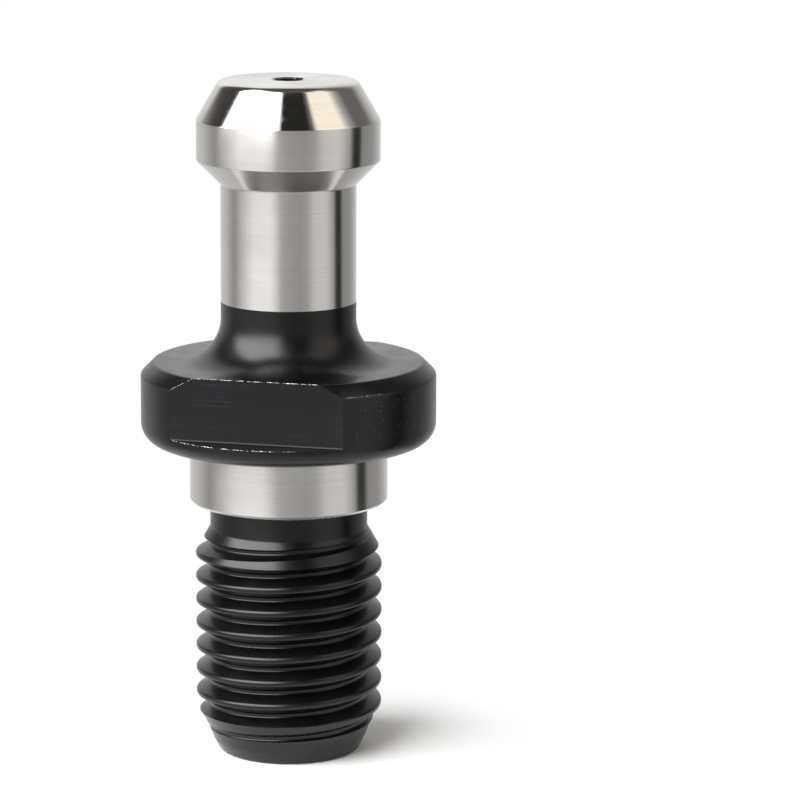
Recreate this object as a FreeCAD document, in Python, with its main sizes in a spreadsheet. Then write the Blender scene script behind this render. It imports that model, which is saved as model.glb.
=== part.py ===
"""Pull stud (retention knob) for a size 50 milling taper: one turned, ground and blackened steel piece.

The stud stands along Z. z = 0 is the seat face under the flange, the datum that every height of such
a stud is measured from. The gripper head is up, towards +Z, and the M24 x 3 thread is down, towards -Z.
The two wrench flats face -Y and +Y. All lengths are in millimetres and all angles in degrees.
"""
import FreeCAD, Part
import os
import Sketcher

NODE = "pull_stud"
NEAR = 1e-5  # two lengths closer than this are the same
FIRST, LAST, CENTRE = 1, 2, 3  # the points of a line or circle in a sketch
ORIGIN = (-1, 1)  # the sketch's own origin

# Driving dimensions: alias, value and what it measures.
SIZES = [
    ("shank_length", 40.0, "seat face to the thread end"),
    ("thread_diameter", 23.6, "over the crests of the M24 thread"),
    ("thread_pitch", 3.0, "one right hand turn"),
    ("thread_depth", 1.64, "of the thread groove"),
    ("thread_root_flat", 0.5, "width of the groove's bottom"),
    ("thread_flank_angle", 30.0, "each flank of the groove, from square to the axis"),
    ("thread_start", 1.58, "below the thread end, where the groove's middle crosses the +X side"),
    ("end_diameter", 17.8, "face of the thread end"),
    ("end_chamfer", 0.5, "edge of that face"),
    ("fade_angle", 30.0, "cones at both ends of the thread, from the axis"),
    ("relief_diameter", 19.9, "plain neck between thread and pilot"),
    ("relief_length", 3.45, "shoulder under the pilot to the cone above the thread"),
    ("pilot_diameter", 25.0, "ground pilot that centres the stud"),
    ("pilot_length", 7.55, "seat face to the shoulder under the pilot"),
    ("pilot_chamfer", 0.35, "lower edge of the pilot"),
    ("flange_diameter", 37.2, "flange"),
    ("flange_thickness", 10.3, "seat face to the flange's top"),
    ("flange_low_chamfer", 1.7, "lower edge of the flange"),
    ("flange_top_chamfer", 1.6, "upper edge of the flange"),
    ("wrench_width", 30.0, "across the two flats"),
    ("wrench_rim", 2.4, "full round rim left under the flats"),
    ("neck_diameter", 17.0, "neck that the gripper closes round"),
    ("neck_fillet", 5.5, "large rounded corner of neck and flange"),
    ("seat_to_flank", 32.7, "seat face to the foot of the gripping flank"),
    ("flank_angle", 45.0, "gripping flank, from the axis"),
    ("head_diameter", 23.0, "gripper head"),
    ("head_land", 5.0, "cylinder round the head"),
    ("head_taper", 30.0, "upper cone of the head, from the axis"),
    ("head_rim_chamfer", 0.6, "edge of the top face"),
    ("seat_to_top", 45.7, "seat face to the top face"),
    ("bore_diameter", 4.0, "coolant bore, right through"),
    ("bore_chamfer", 0.2, "both mouths of the bore"),
]

# Radii and heights that follow from them.
THREAD_RADIUS = "sizes.thread_diameter / 2"
ROOT_RADIUS = f"({THREAD_RADIUS} - sizes.thread_depth)"
END_RADIUS = "sizes.end_diameter / 2"
RELIEF_RADIUS = "sizes.relief_diameter / 2"
PILOT_RADIUS = "sizes.pilot_diameter / 2"
FLANGE_RADIUS = "sizes.flange_diameter / 2"
NECK_RADIUS = "sizes.neck_diameter / 2"
HEAD_RADIUS = "sizes.head_diameter / 2"
BORE_RADIUS = "sizes.bore_diameter / 2"
FADE = "tan(sizes.fade_angle * 1 deg)"
END_Z = "-sizes.shank_length"
END_CONE_Z = f"({END_Z} + ({THREAD_RADIUS} - {END_RADIUS}) / {FADE})"
SHOULDER_Z = "-sizes.pilot_length"
RELIEF_Z = f"({SHOULDER_Z} - sizes.relief_length)"
THREAD_TOP_Z = f"({RELIEF_Z} - ({THREAD_RADIUS} - {RELIEF_RADIUS}) / {FADE})"
SEAT_Z = "0"
FLANGE_Z = "sizes.flange_thickness"
FLANK_Z = "sizes.seat_to_flank"
LAND_Z = f"({FLANK_Z} + ({HEAD_RADIUS} - {NECK_RADIUS}) / tan(sizes.flank_angle * 1 deg))"
LAND_TOP_Z = f"({LAND_Z} + sizes.head_land)"
TOP_Z = "sizes.seat_to_top"
TOP_RADIUS = f"({HEAD_RADIUS} - ({TOP_Z} - {LAND_TOP_Z}) * tan(sizes.head_taper * 1 deg))"

doc = FreeCAD.newDocument("pull_stud_model")


def make_sheet():
    """The driving dimensions, one row each: what it measures, and the number under its alias."""
    made = doc.addObject("Spreadsheet::Sheet", "sizes")
    for row, (alias, number, note) in enumerate(SIZES, start=1):
        made.set(f"A{row}", note)
        made.set(f"B{row}", str(number))
        made.setAlias(f"B{row}", alias)
    doc.recompute()
    return made


sheet = make_sheet()
body = doc.addObject("PartDesign::Body", "stud_body")
body.Label = NODE


def value(expression):
    """The number that an expression on the sheet gives."""
    result = sheet.evalExpression(expression)
    return float(getattr(result, "Value", result))


def origin_plane(role):
    """One of the body's own three planes."""
    return next(item for item in body.Origin.OriginFeatures if item.Role == role)


def new_sketch(name, role):
    """An empty sketch on one of the body's planes."""
    sketch = body.newObject("Sketcher::SketchObject", name)
    sketch.AttachmentSupport = (origin_plane(role), "")
    sketch.MapMode = "FlatFace"
    return sketch


def bind(sketch, constraint, expression):
    """Add a constraint whose size follows an expression."""
    index = sketch.addConstraint(constraint)
    sketch.setExpression(f"Constraints[{index}]", expression)


def draw_outline(sketch, corners):
    """Join the corners, each a pair of expressions, with straight lines, and bind each to its place."""
    points = [FreeCAD.Vector(value(across), value(along), 0) for across, along in corners]
    count = len(points)
    for index in range(count):
        sketch.addGeometry(Part.LineSegment(points[index], points[(index + 1) % count]), False)
    for index in range(count):
        sketch.addConstraint(Sketcher.Constraint("Coincident", index, LAST, (index + 1) % count, FIRST))
    for index, (across, along) in enumerate(corners):
        place = points[index]
        bind(sketch, Sketcher.Constraint("DistanceX", *ORIGIN, index, FIRST, place.x), across)
        bind(sketch, Sketcher.Constraint("DistanceY", *ORIGIN, index, FIRST, place.y), along)


def checked(feature):
    """Recompute the document, and make sure that this feature of the body came out."""
    doc.recompute()
    failed = {"Invalid", "Error"} & set(feature.State)
    if failed or feature.Shape.isNull() or not feature.Shape.isValid():
        raise RuntimeError(f"{feature.Name} failed")
    return feature


def cut(feature):
    """The same for a feature that removes material, which it must really do."""
    before = feature.BaseFeature.Shape.Volume
    if not checked(feature).Shape.Volume < before:
        raise RuntimeError(f"{feature.Name} cut nothing")
    return feature


def ring(shape, radius, z):
    """Name of the shape's round edge about the axis with this radius, at this height."""
    for number, edge in enumerate(shape.Edges, start=1):
        if isinstance(edge.Curve, Part.Circle):
            off_radius = abs(edge.Curve.Radius - radius)
            off_height = abs(edge.Curve.Center.z - z)
            if max(off_radius, off_height) < NEAR:
                return f"Edge{number}"
    raise RuntimeError(f"no round edge of radius {radius} at height {z}")


def turn_blank():
    """The turned blank: half its section, revolved about the axis."""
    section = new_sketch("section", "XZ_Plane")
    corners = [
        ("0", END_Z),
        (END_RADIUS, END_Z),
        (THREAD_RADIUS, END_CONE_Z),
        (THREAD_RADIUS, THREAD_TOP_Z),
        (RELIEF_RADIUS, RELIEF_Z),
        (RELIEF_RADIUS, SHOULDER_Z),
        (PILOT_RADIUS, SHOULDER_Z),
        (PILOT_RADIUS, SEAT_Z),
        (FLANGE_RADIUS, SEAT_Z),
        (FLANGE_RADIUS, FLANGE_Z),
        (NECK_RADIUS, FLANGE_Z),
        (NECK_RADIUS, FLANK_Z),
        (HEAD_RADIUS, LAND_Z),
        (HEAD_RADIUS, LAND_TOP_Z),
        (TOP_RADIUS, TOP_Z),
        ("0", TOP_Z),
    ]
    draw_outline(section, corners)
    blank = body.newObject("PartDesign::Revolution", "blank")
    blank.Profile = section
    blank.ReferenceAxis = (section, ["V_Axis"])
    blank.Angle = 360
    return checked(blank)


def dress(name, kind, base, size, radius, z):
    """Chamfer or Fillet one round edge of the blank by one size of the sheet."""
    feature = body.newObject(f"PartDesign::{kind}", name)
    feature.Base = (base, [ring(base.Shape, value(radius), value(z))])
    feature.setExpression("Size" if kind == "Chamfer" else "Radius", f"sizes.{size}")
    return checked(feature)


def dress_blank(blank):
    """The blank's broken edges, and the large fillet that carries the neck."""
    edges = [
        ("end_edge", "Chamfer", "end_chamfer", END_RADIUS, END_Z),
        ("pilot_edge", "Chamfer", "pilot_chamfer", PILOT_RADIUS, SHOULDER_Z),
        ("flange_low_edge", "Chamfer", "flange_low_chamfer", FLANGE_RADIUS, SEAT_Z),
        ("flange_top_edge", "Chamfer", "flange_top_chamfer", FLANGE_RADIUS, FLANGE_Z),
        ("neck_root", "Fillet", "neck_fillet", NECK_RADIUS, FLANGE_Z),
        ("head_rim", "Chamfer", "head_rim_chamfer", TOP_RADIUS, TOP_Z),
    ]
    last = blank
    for name, kind, size, radius, z in edges:
        last = dress(name, kind, last, size, radius, z)


def drill_bore():
    """The coolant bore, right through along the axis, with both mouths chamfered."""
    circle = new_sketch("bore_circle", "XY_Plane")
    start = Part.Circle(FreeCAD.Vector(0, 0, 0), FreeCAD.Vector(0, 0, 1), value(BORE_RADIUS))
    circle.addGeometry(start, False)
    circle.addConstraint(Sketcher.Constraint("Coincident", 0, CENTRE, *ORIGIN))
    bind(circle, Sketcher.Constraint("Diameter", 0, 2 * value(BORE_RADIUS)), "sizes.bore_diameter")
    bore = body.newObject("PartDesign::Pocket", "bore")
    bore.Profile = circle
    bore.Type = "ThroughAll"
    bore.Midplane = True
    cut(bore)
    lower = dress("bore_end_mouth", "Chamfer", bore, "bore_chamfer", BORE_RADIUS, END_Z)
    dress("bore_head_mouth", "Chamfer", lower, "bore_chamfer", BORE_RADIUS, TOP_Z)


def mill_flats():
    """The wrench flats: one milled down to a ledge over the flange's rim, then mirrored."""
    strip = new_sketch("flat_strip", "XY_Plane")
    strip.setExpression("AttachmentOffset.Base.z", "sizes.wrench_rim")
    face = "-sizes.wrench_width / 2"
    outside = "sizes.flange_diameter"
    corners = [
        (f"-{outside}", f"-{outside}"),
        (outside, f"-{outside}"),
        (outside, face),
        (f"-{outside}", face),
    ]
    draw_outline(strip, corners)
    flat = body.newObject("PartDesign::Pocket", "front_flat")
    flat.Profile = strip
    flat.Type = "Length"
    flat.Reversed = True
    flat.setExpression("Length", f"{FLANGE_Z} + sizes.neck_fillet - sizes.wrench_rim")
    cut(flat)
    both = body.newObject("PartDesign::Mirrored", "both_flats")
    both.Originals = [flat]
    both.MirrorPlane = (origin_plane("XZ_Plane"), [""])
    body.Tip = both
    checked(both)


def cut_thread():
    """The thread: a V groove swept up a right hand helix, from below the end to over the relief."""
    clear = "sizes.thread_root_flat"
    outer = f"({THREAD_RADIUS} + {clear})"
    half_root = "sizes.thread_root_flat / 2"
    flank = f"({outer} - {ROOT_RADIUS}) * tan(sizes.thread_flank_angle * 1 deg)"
    half_mouth = f"({half_root} + {flank})"
    start = f"({END_Z} - sizes.thread_start)"
    section = new_sketch("groove_section", "XZ_Plane")
    corners = [
        (ROOT_RADIUS, f"{start} - {half_root}"),
        (outer, f"{start} - {half_mouth}"),
        (outer, f"{start} + {half_mouth}"),
        (ROOT_RADIUS, f"{start} + {half_root}"),
    ]
    draw_outline(section, corners)
    thread = body.newObject("PartDesign::SubtractiveHelix", "thread")
    thread.Profile = section
    thread.ReferenceAxis = (section, ["V_Axis"])
    thread.Mode = "pitch-height-angle"
    thread.setExpression("Pitch", "sizes.thread_pitch")
    thread.setExpression("Height", f"{RELIEF_Z} + {clear} - {start}")
    thread.LeftHanded = False
    cut(thread)


dress_blank(turn_blank())
drill_bore()
mill_flats()
cut_thread()

faulty = [item.Name for item in doc.Objects if {"Invalid", "Error"} & set(item.State)]
if faulty or not body.Shape.isValid() or len(body.Shape.Solids) != 1:
    raise RuntimeError(f"the stud is not one sound solid: {faulty}")
os.makedirs("parts", exist_ok=True)
body.Shape.exportStep(f"parts/{body.Label}.step")
print(f"{body.Label}: {body.Shape.Volume / 1000:.2f} cm3, {len(body.Shape.Faces)} faces")
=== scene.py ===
"""Looks of the pull stud: a finely turned mesh in ground and blackened steel, under plain soft light."""
import math
import random

import bmesh
import bpy
from mathutils import Matrix, Vector


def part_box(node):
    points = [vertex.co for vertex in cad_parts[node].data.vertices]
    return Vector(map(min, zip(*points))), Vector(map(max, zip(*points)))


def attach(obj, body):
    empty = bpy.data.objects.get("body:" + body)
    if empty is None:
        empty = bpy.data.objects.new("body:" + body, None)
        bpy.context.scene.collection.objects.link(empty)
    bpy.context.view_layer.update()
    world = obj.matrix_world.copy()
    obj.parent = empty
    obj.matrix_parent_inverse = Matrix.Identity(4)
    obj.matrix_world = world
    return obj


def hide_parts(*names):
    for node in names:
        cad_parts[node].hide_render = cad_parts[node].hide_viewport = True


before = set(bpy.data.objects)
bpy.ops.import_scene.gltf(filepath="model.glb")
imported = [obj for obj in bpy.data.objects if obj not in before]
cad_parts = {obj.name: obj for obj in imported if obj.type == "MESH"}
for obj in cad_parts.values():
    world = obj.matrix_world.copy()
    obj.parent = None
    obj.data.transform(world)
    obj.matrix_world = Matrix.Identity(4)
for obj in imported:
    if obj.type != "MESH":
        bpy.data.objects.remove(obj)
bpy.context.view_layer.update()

MM = 0.001
NODE = "pull_stud"
BOX_LOW, BOX_HIGH = (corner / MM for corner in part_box(NODE))

# The stud in millimetres, z = 0 at the seat face. What the frame's box gives is read from it.
END_Z = BOX_LOW.z
TOP_Z = BOX_HIGH.z
FLANGE_R = BOX_HIGH.x
END_R = 8.9
THREAD_R = 11.8
THREAD_TOP_Z = -14.2
THREAD_PITCH = 3.0
THREAD_DEPTH = 1.64
THREAD_ROOT_FLAT = 0.5
THREAD_START_Z = END_Z - 1.58
THREAD_END_Z = -10.6
RELIEF_R = 9.95
RELIEF_Z = -11.0
SHOULDER_Z = -7.55
PILOT_R = 12.5
PILOT_BREAK = 0.35
SEAT_RING_R = 15.6
FLANGE_LOW_R = 2.6
FLANGE_Z = 10.3
FLANGE_BREAK = 1.6
WRENCH_HALF = 15.0
WRENCH_RIM = 2.4
NECK_R = 8.5
NECK_FILLET = 5.5
BLACK_TOP_Z = 17.9
FLANK_Z = 32.7
HEAD_R = 11.5
HEAD_Z = 35.7
LAND_TOP_Z = 40.7
TOP_R = HEAD_R - (TOP_Z - LAND_TOP_Z) * math.tan(math.radians(30))
RIM_R = 1.5
BORE_R = 2.0
BORE_BREAK = 0.2

# The rolled lead-in below the thread: (radius, height over the end, rounding), and how much higher than
# a plain 30 degree cone it reaches the full thread.
LEAD_IN = ((9.75, 1.6, 1.0), (10.3, 3.1, 2.0))
LEAD_IN_RISE = 0.8

END_CONE_Z = END_Z + (THREAD_R - END_R) / math.tan(math.radians(30))

# The mesh: columns round the body, sections in a turn of thread, and the angle of an edge that stays sharp.
COLUMNS = 240
TURN_STEPS = 120
SHARP_ANGLE = math.radians(24)

# The finishes, in the order of the body's material slots.
GROUND, MIRROR, BLACK, BURR, MILLED = range(5)

# The floor's disc, and the distances from the axis over which it melts into white, in metres.
FLOOR_R = 0.06
FLOOR_PLAIN_R = 0.012
FLOOR_WHITE_R = 0.034

# The photograph's viewpoint, fitted to the stud's own edges: azimuth from -Y towards +X,
# distance from the axis, height over the floor.
CAMERA_AZIMUTH = math.radians(15.42)
CAMERA_DISTANCE = 455 * MM
CAMERA_HEIGHT = 136.8 * MM
CAMERA_YAW = math.radians(1.767)
CAMERA_PITCH = math.radians(11.387)
CAMERA_ROLL = math.radians(0.267)
CAMERA_LENS = 165.6
SENSOR_WIDTH = 36.0

# The studio's light, as a share of LIGHT_SCALE, by degrees to the right of the camera: near the
# horizon and below it, and in a ring above it. A large bright box stands to the left, a smaller warm
# one to the right, a white wall behind.
LIGHT_SCALE = 8.0
CREAM = (0.150, 0.140, 0.122)
LOW_LIGHT = [
    (-180, 0.110), (-150, 0.085), (-132, 0.080), (-105, 0.042), (-84, 0.068), (-62, 0.110), (-32, 0.110),
    (-14, 0.060), (20, 0.049), (32, 0.056), (45, 0.088), (66, 0.095), (84, 0.050), (88, 0.002),
    (100, 0.002), (105, 0.040), (128, 0.045), (150, 0.075), (180, 0.110),
]
HIGH_LIGHT = [
    (-180, 0.150), (-152, 0.120), (-138, 0.012), (-104, 0.006), (-99, 0.04), (-94, 1.0), (-20, 1.0),
    (-15, 0.15), (-10, 0.003), (30, 0.003), (37, 0.02), (44, CREAM), (80, CREAM), (92, 0.055),
    (104, 0.019), (128, 0.019), (150, 0.075), (180, 0.150),
]
OVERHEAD_LIGHT = (0.012, 0.012, 0.012)


# ---- shape ---------------------------------------------------------------------------------------

def rounded(corners, steps=6):
    """A closed outline of (r, z) points. A corner with a third number is rounded to that radius."""
    outline = []
    count = len(corners)
    for index, corner in enumerate(corners):
        here = Vector(corner[:2])
        radius = corner[2] if len(corner) > 2 else 0
        if not radius:
            outline.append(here)
            continue
        before = (Vector(corners[index - 1][:2]) - here).normalized()
        after = (Vector(corners[(index + 1) % count][:2]) - here).normalized()
        half = before.angle(after) / 2
        reach = radius / math.tan(half)
        centre = here + (before + after).normalized() * (radius / math.sin(half))
        first = here + before * reach - centre
        turn = first.angle_signed(here + after * reach - centre)
        parts = max(2, round(steps * abs(turn) / math.radians(90) * max(1, radius ** 0.5)))
        for part in range(parts + 1):
            spun = first.copy()
            spun.rotate(Matrix.Rotation(-turn * part / parts, 2))
            outline.append(centre + spun)
    return outline


def grid_solid(name, rings, closed):
    """A mesh object that skins rings of points, which close on each other or are capped."""
    mesh_builder = bmesh.new()
    verts = [[mesh_builder.verts.new(point * MM) for point in ring] for ring in rings]
    size = len(rings[0])
    pairs = list(zip(verts, verts[1:]))
    if closed:
        pairs.append((verts[-1], verts[0]))
    for one, other in pairs:
        for k in range(size):
            following = (k + 1) % size
            mesh_builder.faces.new((one[k], one[following], other[following], other[k]))
    if not closed:
        mesh_builder.faces.new(verts[0])
        mesh_builder.faces.new(verts[-1])
    bmesh.ops.recalc_face_normals(mesh_builder, faces=mesh_builder.faces)
    mesh = bpy.data.meshes.new(name)
    mesh_builder.to_mesh(mesh)
    mesh_builder.free()
    made = bpy.data.objects.new(name, mesh)
    bpy.context.scene.collection.objects.link(made)
    return made


def spun_point(point, angle, lift=0.0):
    """The outline point (r, z), turned about the axis and lifted."""
    return Vector((point.x * math.cos(angle), point.x * math.sin(angle), point.y + lift))


def make_blank():
    """The turned blank, with the bore through it."""
    corners = [
        (BORE_R + BORE_BREAK, END_Z), (END_R, END_Z, 0.6),
        *((radius, END_Z + height, rounding) for radius, height, rounding in LEAD_IN),
        (THREAD_R, END_CONE_Z + LEAD_IN_RISE, 0.5),
        (THREAD_R, THREAD_TOP_Z, 0.3), (RELIEF_R, RELIEF_Z, 0.5), (RELIEF_R, SHOULDER_Z, 0.7),
        (PILOT_R - PILOT_BREAK, SHOULDER_Z), (PILOT_R, SHOULDER_Z + PILOT_BREAK), (PILOT_R, 0, 0.4),
        (SEAT_RING_R, 0), (FLANGE_R, 0, FLANGE_LOW_R), (FLANGE_R, FLANGE_Z - FLANGE_BREAK, 0.7),
        (FLANGE_R - FLANGE_BREAK, FLANGE_Z, 0.5), (NECK_R, FLANGE_Z, NECK_FILLET),
        (NECK_R, BLACK_TOP_Z), (NECK_R, FLANK_Z, 0.35), (HEAD_R, HEAD_Z, 0.2),
        (HEAD_R, LAND_TOP_Z, 0.15), (TOP_R, TOP_Z, RIM_R), (BORE_R + BORE_BREAK, TOP_Z),
        (BORE_R, TOP_Z - BORE_BREAK), (BORE_R, END_Z + BORE_BREAK),
    ]
    outline = rounded(corners)
    angles = [2 * math.pi * k / COLUMNS for k in range(COLUMNS)]
    return grid_solid("stud_body", [[spun_point(p, a) for p in outline] for a in angles], True)


def make_groove():
    """The cutter for the thread: a rounded V swept up a right hand helix."""
    tangent = math.tan(math.radians(30))
    root = THREAD_R - THREAD_DEPTH
    mouth = THREAD_ROOT_FLAT / 2 + THREAD_DEPTH * tangent
    crest = THREAD_R + 0.012
    outside = THREAD_R + 0.5
    reach = THREAD_PITCH / 2 - 0.02
    section = rounded([
        (root, -THREAD_ROOT_FLAT / 2, 0.25), (crest, -mouth, 0.45), (crest, -reach), (outside, -reach),
        (outside, reach), (crest, reach), (crest, mouth, 0.45), (root, THREAD_ROOT_FLAT / 2, 0.25),
    ])
    steps = math.ceil((THREAD_END_Z - THREAD_START_Z) / THREAD_PITCH * TURN_STEPS)
    rings = []
    for step in range(steps + 1):
        turns = step / TURN_STEPS
        lift = THREAD_START_Z + turns * THREAD_PITCH
        rings.append([spun_point(point, 2 * math.pi * turns, lift) for point in section])
    return grid_solid("groove", rings, False)


def make_flat_cutter(side):
    """The cutter for one wrench flat, with the milling tool's small corner radius over the rim."""
    far = FLANGE_R + 5
    section = rounded([
        (WRENCH_HALF, WRENCH_RIM, 0.25), (far, WRENCH_RIM),
        (far, FLANGE_Z + NECK_FILLET), (WRENCH_HALF, FLANGE_Z + NECK_FILLET),
    ])
    ends = [[Vector((x, side * point.x, point.y)) for point in section] for x in (-far, far)]
    return grid_solid("flat_cutter", ends, False)


def subtract(target, cutter):
    """Cut one closed mesh from another for good."""
    modifier = target.modifiers.new("cut", "BOOLEAN")
    modifier.operation = "DIFFERENCE"
    modifier.object = cutter
    modifier.solver = "MANIFOLD"
    graph = bpy.context.evaluated_depsgraph_get()
    result = bpy.data.meshes.new_from_object(target.evaluated_get(graph))
    target.modifiers.clear()
    target.data = result
    bpy.data.objects.remove(cutter)


def bead(builder, path, chance, thickness):
    """One burr: a thin closed tube along a few points, swelling and shrinking, pointed at both ends."""
    rings = []
    for index, point in enumerate(path[1:-1], 1):
        along = (path[index + 1] - path[index - 1]).normalized()
        side = along.orthogonal().normalized()
        over = along.cross(side)
        radius = thickness * chance.uniform(0.45, 1.15)
        nudge = side * chance.uniform(-0.35, 0.35) * thickness
        nudge += over * chance.uniform(-0.35, 0.35) * thickness
        ring = []
        for k in range(6):
            angle = math.tau * k / 6
            ring.append((point + nudge + (side * math.cos(angle) + over * math.sin(angle)) * radius) * MM)
        rings.append([builder.verts.new(place) for place in ring])
    for one, other in zip(rings, rings[1:]):
        for k in range(6):
            builder.faces.new((one[k], one[k - 1], other[k - 1], other[k]))
    for tip, ring, order in ((path[0], rings[0], 1), (path[-1], rings[-1], -1)):
        point = builder.verts.new(tip * MM)
        for k in range(6):
            builder.faces.new((ring[k], ring[k - 1], point)[::order])


def burr_line(builder, place, length, chance, thickness, cover):
    """Broken burrs along an edge. place(t) is the edge's point for t from 0 to 1."""
    at = 0.0
    while at < length - 0.3:
        run = min(chance.uniform(0.5, 2.4), length - at)
        if chance.random() < cover:
            steps = max(3, round(run / 0.16))
            path = [place((at + run * k / steps) / length) for k in range(steps + 1)]
            bead(builder, path, chance, thickness * chance.uniform(0.6, 1.2))
        at += run + chance.uniform(0.0, 0.35)


def rim_radius(z):
    """The flange's radius at a height within its top break or its low rounding."""
    if z > FLANGE_Z - FLANGE_BREAK:
        return FLANGE_R - (z - FLANGE_Z + FLANGE_BREAK)
    low = FLANGE_LOW_R - z
    return FLANGE_R - FLANGE_LOW_R + math.sqrt(FLANGE_LOW_R ** 2 - max(low, 0) ** 2)


def flat_edge(z, share):
    """Where the front wrench flat meets the flange's skin: share -1 is its left end, +1 its right."""
    return Vector((share * math.sqrt(rim_radius(z) ** 2 - WRENCH_HALF ** 2), -WRENCH_HALF, z))


def make_burrs(stud):
    """The bright burrs that milling left round the front flat, joined to the body's mesh."""
    chance = random.Random(7)
    builder = bmesh.new()
    low_z = FLANGE_Z - FLANGE_BREAK
    top_left, top_right = flat_edge(FLANGE_Z, -1), flat_edge(FLANGE_Z, 1)
    burr_line(builder, lambda t: top_left.lerp(top_right, t), 16.0, chance, 0.065, 0.9)
    burr_line(builder, lambda t: flat_edge(low_z + t * FLANGE_BREAK, -1), 3.4, chance, 0.045, 1.0)
    ledge_angle = math.acos(WRENCH_HALF / rim_radius(WRENCH_RIM))

    def ledge(t):
        angle = ledge_angle * (1.7 * t - 1)
        radius = rim_radius(WRENCH_RIM) - 0.13
        return Vector((radius * math.sin(angle), -radius * math.cos(angle), WRENCH_RIM))

    burr_line(builder, ledge, 20.0, chance, 0.075, 0.75)
    burr_line(builder, lambda t: ledge(t) - Vector((0, -0.05, 0.3)), 16.0, chance, 0.05, 0.3)
    edge_angle = math.acos(WRENCH_HALF / FLANGE_R)

    def break_edge(t):
        angle = edge_angle + math.radians(1 + 16 * t)
        return Vector((math.sin(angle), -math.cos(angle), 0)) * (FLANGE_R - 0.1) + Vector((0, 0, low_z + 0.1))

    burr_line(builder, break_edge, 5.0, chance, 0.04, 1.0)
    bmesh.ops.recalc_face_normals(builder, faces=builder.faces)
    for face in builder.faces:
        face.material_index = BURR
        face.smooth = True
    builder.from_mesh(stud.data)
    builder.to_mesh(stud.data)
    builder.free()


# ---- materials -----------------------------------------------------------------------------------

class Nodes:
    """Short calls that build a node tree."""

    def __init__(self, tree):
        self.tree = tree

    def node(self, kind, *inputs, **settings):
        """Add a node, set its properties and feed its sockets in order."""
        made = self.tree.nodes.new(kind)
        for key, value in settings.items():
            setattr(made, key, value)
        for socket, value in zip(made.inputs, inputs):
            self.feed(socket, value)
        return made

    def feed(self, socket, value):
        """Link a socket, or set it where the value is a plain one."""
        if isinstance(value, bpy.types.NodeSocket):
            self.tree.links.new(value, socket)
        else:
            socket.default_value = value

    def math(self, operation, *inputs):
        """One sum, product or other function of numbers."""
        return self.node("ShaderNodeMath", *inputs, operation=operation).outputs[0]

    def ramp(self, fac, *stops):
        """A smooth ramp of (place, grey or colour) stops."""
        made = self.node("ShaderNodeValToRGB", fac)
        elements = made.color_ramp.elements
        while len(elements) < len(stops):
            elements.new(0.5)
        for element, (place, shade) in zip(elements, stops):
            element.position = place
            element.color = (*shade, 1) if isinstance(shade, tuple) else (shade, shade, shade, 1)
        return made.outputs["Color"]

    def blend(self, fac, first, second):
        """Mix two colours or values of colour."""
        made = self.node("ShaderNodeMix", data_type="RGBA")
        for index, value in ((0, fac), (6, first), (7, second)):
            self.feed(made.inputs[index], value)
        return made.outputs[2]


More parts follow.
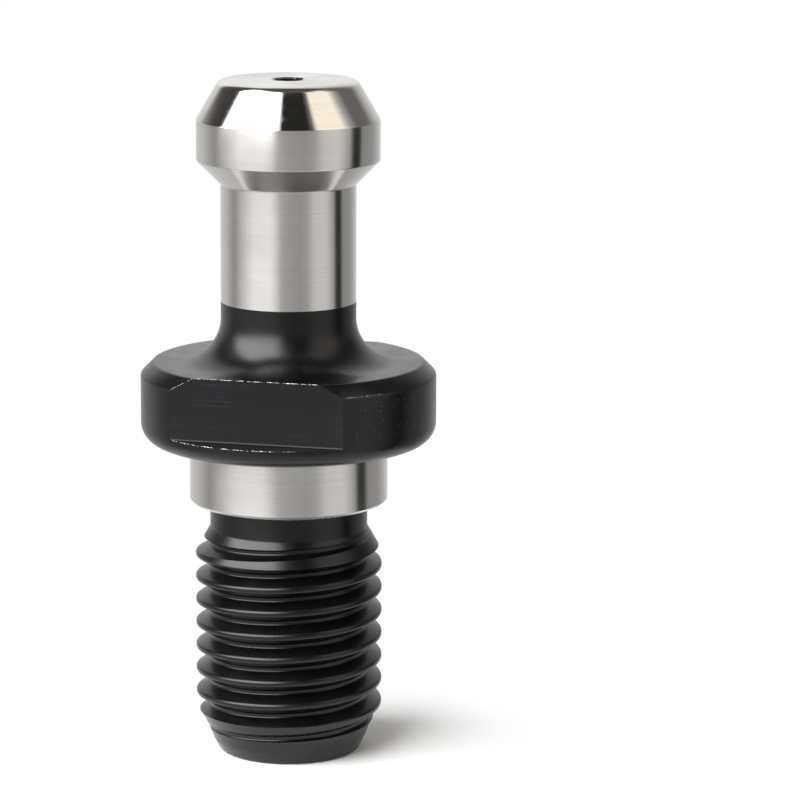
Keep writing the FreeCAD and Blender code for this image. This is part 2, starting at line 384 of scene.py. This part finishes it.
class Painter(Nodes):
    """A material with one Principled shader, and the object's own coordinates."""

    def __init__(self, name, **sockets):
        self.material = bpy.data.materials.new(name)
        self.material.use_nodes = True
        super().__init__(self.material.node_tree)
        self.shader = self.tree.nodes["Principled BSDF"]
        for socket, value in sockets.items():
            self.shader.inputs[socket.replace("_", " ")].default_value = value
        self.position = self.node("ShaderNodeTexCoord").outputs["Object"]
        split = self.node("ShaderNodeSeparateXYZ", self.position)
        self.x, self.y, self.z = split.outputs

    def vector(self, x, y, z):
        """A vector of three values."""
        return self.node("ShaderNodeCombineXYZ", x, y, z).outputs[0]

    def noise(self, vector, scale, detail=2.0, roughness=0.5):
        """Cloudy noise, from 0 to 1."""
        made = self.node("ShaderNodeTexNoise")
        self.feed(made.inputs["Vector"], vector)
        made.inputs["Scale"].default_value = scale
        made.inputs["Detail"].default_value = detail
        made.inputs["Roughness"].default_value = roughness
        return made.outputs["Fac"]

    def band(self, value, low, high, soft):
        """1 where value is between low and high, with soft edges."""
        rise = self.node("ShaderNodeMapRange", value, low - soft, low + soft).outputs[0]
        fall = self.node("ShaderNodeMapRange", value, high - soft, high + soft, 1.0, 0.0).outputs[0]
        return self.math("MULTIPLY", rise, fall)

    def radius(self):
        """Distance from the stud's axis."""
        return self.math("SQRT", self.math("ADD", self.math("MULTIPLY", self.x, self.x),
                                           self.math("MULTIPLY", self.y, self.y)))

    def lathe_lines(self, spacing_mm):
        """Noise drawn out round the axis, as a lathe or grinder leaves it."""
        angle = self.math("ARCTAN2", self.y, self.x)
        along = self.math("MULTIPLY", self.math("ADD", self.z, self.radius()), 1 / (spacing_mm * MM))
        around = self.math("MULTIPLY", angle, 0.35)
        return self.noise(self.vector(around, 0.0, along), 1.0, 3.0, 0.6)

    def pits(self, spacing_mm, radius_mm):
        """1 in small scattered pits, 0 elsewhere. Only about one cell in six has one."""
        made = self.node("ShaderNodeTexVoronoi", feature="F1")
        self.feed(made.inputs["Vector"], self.position)
        made.inputs["Scale"].default_value = 1 / (spacing_mm * MM)
        near = self.node("ShaderNodeMapRange", made.outputs["Distance"], radius_mm / spacing_mm * 1.3,
                         radius_mm / spacing_mm * 0.7).outputs[0]
        tone = self.node("ShaderNodeSeparateXYZ", made.outputs["Color"]).outputs[0]
        return self.math("MULTIPLY", near, self.math("GREATER_THAN", tone, 0.84))

    def bump(self, height, distance_mm):
        """Relief of a given depth, in the shading alone."""
        made = self.node("ShaderNodeBump")
        made.inputs["Strength"].default_value = 1.0
        made.inputs["Distance"].default_value = distance_mm * MM
        self.feed(made.inputs["Height"], height)
        self.feed(self.shader.inputs["Normal"], made.outputs["Normal"])

    def use(self, socket, value):
        """Feed one of the shader's own sockets."""
        self.feed(self.shader.inputs[socket], value)

    def brushed_round(self, amount):
        """Highlights drawn out across the lathe lines."""
        self.shader.inputs["Anisotropic"].default_value = amount
        self.shader.inputs["Anisotropic Rotation"].default_value = 0.25
        tangent = self.node("ShaderNodeTangent", direction_type="RADIAL", axis="Z")
        self.use("Tangent", tangent.outputs[0])


def ground_steel():
    """Head, neck and pilot: ground bright, with fine lines round the axis and a few small pits."""
    paint = Painter("ground_steel", Metallic=1.0)
    lines = paint.lathe_lines(0.07)
    pits = paint.pits(0.9, 0.055)
    bright = paint.ramp(lines, (0.25, (0.655, 0.635, 0.61)), (0.75, (0.735, 0.715, 0.69)))
    paint.use("Base Color", paint.blend(pits, bright, (0.12, 0.11, 0.10, 1)))
    cloud = paint.noise(paint.position, 260.0, 3.0)
    paint.use("Roughness", paint.ramp(cloud, (0.3, 0.19), (0.7, 0.23)))
    paint.brushed_round(0.85)
    paint.bump(lines, 0.0005)
    return paint.material


def mirror_steel():
    """The head's upper cone: polished, so that it mirrors the lights."""
    paint = Painter("mirror_steel", Metallic=1.0)
    lines = paint.lathe_lines(0.12)
    pits = paint.pits(1.3, 0.05)
    bright = paint.ramp(lines, (0.3, (0.74, 0.71, 0.67)), (0.7, (0.82, 0.79, 0.75)))
    paint.use("Base Color", bright)
    specks = paint.noise(paint.position, 900.0, 2.0)
    paint.use("Roughness", paint.math("ADD", paint.ramp(specks, (0.45, 0.05), (0.75, 0.13)),
                                      paint.math("MULTIPLY", pits, 0.35)))
    paint.brushed_round(0.5)
    paint.bump(lines, 0.0003)
    return paint.material


def black_oxide():
    """Flange, relief, thread and bore: blackened, half glossy, with bright specks at the flange's right."""
    paint = Painter("black_oxide", IOR=1.45)
    lines = paint.lathe_lines(0.14)
    cloud = paint.noise(paint.position, 300.0, 4.0)
    black = paint.ramp(cloud, (0.3, (0.0006, 0.0007, 0.0012)), (0.75, (0.0016, 0.0018, 0.0026)))
    grain = paint.noise(paint.position, 3200.0, 2.0, 0.7)
    patch = paint.noise(paint.position, 420.0, 2.0)
    rim = paint.band(paint.z, -0.2 * MM, (FLANGE_Z - FLANGE_BREAK) * MM, 0.5 * MM)
    outer = paint.node("ShaderNodeMapRange", paint.radius(), 17.6 * MM, 18.4 * MM).outputs[0]
    right = paint.node("ShaderNodeMapRange", paint.x, 6.0 * MM, 19.0 * MM).outputs[0]
    amount = paint.math("MULTIPLY", paint.math("MULTIPLY", rim, outer), paint.math("MULTIPLY", right, patch))
    wear = paint.node("ShaderNodeMapRange", paint.math("ADD", grain, paint.math("MULTIPLY", amount, 0.20)),
                      0.74, 0.80).outputs[0]
    paint.use("Base Color", paint.blend(wear, black, (0.18, 0.18, 0.175, 1)))
    paint.use("Metallic", paint.math("MULTIPLY", wear, 0.8))
    paint.use("Roughness", paint.ramp(cloud, (0.3, 0.25), (0.75, 0.33)))
    paint.bump(lines, 0.0016)
    return paint.material


def milled_black():
    """The wrench flats and their ledges: blackened, and drawn with faint lines by the milling cutter."""
    paint = Painter("milled_black", IOR=1.36)
    stroke = paint.vector(paint.math("MULTIPLY", paint.x, 60.0), 0.0, paint.math("MULTIPLY", paint.z, 5200.0))
    strokes = paint.noise(stroke, 1.0, 3.0, 0.65)
    wide = paint.noise(paint.position, 190.0, 2.0)
    marks = paint.math("MULTIPLY", paint.ramp(strokes, (0.56, 0.0), (0.74, 1.0)),
                       paint.ramp(wide, (0.42, 0.0), (0.62, 1.0)))
    black = (0.0012, 0.0015, 0.0024, 1)
    paint.use("Base Color", paint.blend(marks, black, (0.024, 0.028, 0.034, 1)))
    paint.use("Roughness", paint.ramp(strokes, (0.3, 0.34), (0.7, 0.44)))
    paint.bump(strokes, 0.003)
    return paint.material


def burr_steel():
    """Bare metal, torn up along an edge."""
    paint = Painter("burr_steel", Metallic=1.0)
    torn = paint.noise(paint.position, 2600.0, 3.0, 0.7)
    paint.use("Base Color", paint.ramp(torn, (0.38, (0.06, 0.06, 0.065)), (0.66, (0.70, 0.69, 0.67))))
    paint.use("Roughness", paint.ramp(torn, (0.3, 0.5), (0.7, 0.28)))
    return paint.material


# ---- the piece -----------------------------------------------------------------------------------

def finish_of(centre, normal):
    """Which finish a face has, by its centre in millimetres and its normal."""
    radius = math.hypot(centre.x, centre.y)
    if radius < BORE_R + 0.05:
        return BLACK
    if centre.z > LAND_TOP_Z and abs(normal.z) < 0.9:
        return MIRROR
    if centre.z > BLACK_TOP_Z:
        return GROUND
    if SHOULDER_Z + 0.1 < centre.z < 0.3 and radius < PILOT_R + 0.3:
        return GROUND
    if abs(centre.z) < 0.01 and radius < SEAT_RING_R:
        return GROUND
    on_ledge = abs(centre.z - WRENCH_RIM) < 0.3 and abs(normal.z) > 0.3
    on_flat = abs(abs(centre.y) - WRENCH_HALF) < 0.01
    return MILLED if on_ledge or on_flat else BLACK


def build_stud():
    """The whole stud, cut, shaded and finished."""
    stud = make_blank()
    subtract(stud, make_groove())
    for side in (-1, 1):
        subtract(stud, make_flat_cutter(side))
    mesh = stud.data
    mesh.materials.clear()
    for material in (ground_steel(), mirror_steel(), black_oxide(), burr_steel(), milled_black()):
        mesh.materials.append(material)
    for face in mesh.polygons:
        face.use_smooth = True
        face.material_index = finish_of(face.center / MM, face.normal)
    mesh.set_sharp_from_angle(angle=SHARP_ANGLE)
    make_burrs(stud)
    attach(stud, "root")
    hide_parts(NODE)


# ---- floor, light and camera ---------------------------------------------------------------------

def make_floor():
    """A pale round floor that keeps the stud's shadow and melts into the white around it."""
    bm = bmesh.new()
    bmesh.ops.create_circle(bm, cap_ends=True, segments=128, radius=FLOOR_R)
    mesh = bpy.data.meshes.new("floor")
    bm.to_mesh(mesh)
    bm.free()
    floor = bpy.data.objects.new("floor", mesh)
    floor.location.z = END_Z * MM
    bpy.context.scene.collection.objects.link(floor)
    material = bpy.data.materials.new("pale_floor")
    material.use_nodes = True
    material.node_tree.nodes.clear()
    paint = Nodes(material.node_tree)
    where = paint.node("ShaderNodeTexCoord").outputs["Object"]
    distance = paint.node("ShaderNodeVectorMath", where, operation="LENGTH").outputs["Value"]
    fade = paint.node("ShaderNodeMapRange", distance, FLOOR_PLAIN_R, FLOOR_WHITE_R,
                      interpolation_type="SMOOTHSTEP").outputs["Result"]
    plain = paint.node("ShaderNodeBsdfDiffuse", (0.9, 0.9, 0.9, 1)).outputs[0]
    white = paint.node("ShaderNodeEmission", (1, 1, 1, 1), 1.0).outputs[0]
    mixed = paint.node("ShaderNodeMixShader", fade, plain, white).outputs[0]
    paint.node("ShaderNodeOutputMaterial", mixed)
    mesh.materials.append(material)


def smooth_rise(paint, height, low_degrees, high_degrees):
    """0 below one height in the sky, 1 above another, and smooth between them."""
    low = math.sin(math.radians(low_degrees))
    high = math.sin(math.radians(high_degrees))
    made = paint.node("ShaderNodeMapRange", height, low, high, interpolation_type="SMOOTHSTEP")
    return made.outputs["Result"]


def light_ring(paint, turn, stops):
    """Light round the horizon, from its (degrees, shade) stops."""
    return paint.ramp(turn, *((degrees / 360 + 0.5, shade) for degrees, shade in stops))


def make_world():
    """Soft light from all round, with plain white where the camera sees past the stud."""
    world = bpy.data.worlds.new("studio")
    bpy.context.scene.world = world
    world.use_nodes = True
    world.node_tree.nodes.clear()
    paint = Nodes(world.node_tree)
    where = paint.node("ShaderNodeTexCoord").outputs["Generated"]
    x, y, z = paint.node("ShaderNodeSeparateXYZ", where).outputs
    azimuth = paint.math("ARCTAN2", x, paint.math("MULTIPLY", y, -1.0))
    turn = paint.math("MULTIPLY", paint.math("SUBTRACT", azimuth, CAMERA_AZIMUTH), 1 / math.tau)
    turn = paint.math("FRACT", paint.math("ADD", turn, 1.5))
    rise = smooth_rise(paint, z, 2, 24)
    sides = paint.blend(rise, light_ring(paint, turn, LOW_LIGHT), light_ring(paint, turn, HIGH_LIGHT))
    around = paint.blend(smooth_rise(paint, z, 56, 70), sides, (*OVERHEAD_LIGHT, 1))
    light = paint.node("ShaderNodeBackground", around, LIGHT_SCALE)
    white = paint.node("ShaderNodeBackground", (1, 1, 1, 1), 1.0)
    seen = paint.node("ShaderNodeLightPath").outputs["Is Camera Ray"]
    choice = paint.node("ShaderNodeMixShader", seen, light.outputs[0], white.outputs[0])
    paint.node("ShaderNodeOutputWorld", choice.outputs[0])


def make_camera():
    """The camera, as far, as high and at the angle that the stud was seen from."""
    data = bpy.data.cameras.new("camera")
    data.lens = CAMERA_LENS
    data.sensor_width = SENSOR_WIDTH
    camera = bpy.data.objects.new("camera", data)
    bpy.context.scene.collection.objects.link(camera)
    bpy.context.scene.camera = camera
    place = Vector((math.sin(CAMERA_AZIMUTH), -math.cos(CAMERA_AZIMUTH), 0)) * CAMERA_DISTANCE
    place.z = END_Z * MM + CAMERA_HEIGHT
    turn = Matrix.Rotation(CAMERA_AZIMUTH - CAMERA_YAW, 4, "Z")
    tilt = Matrix.Rotation(math.pi / 2 - CAMERA_PITCH, 4, "X")
    roll = Matrix.Rotation(CAMERA_ROLL, 4, "Z")
    camera.matrix_world = Matrix.Translation(place) @ turn @ tilt @ roll
    data.clip_start = 0.01
    data.clip_end = 10.0


make_camera()
make_world()
make_floor()
build_stud()
bpy.context.scene.view_settings.view_transform = "Standard"
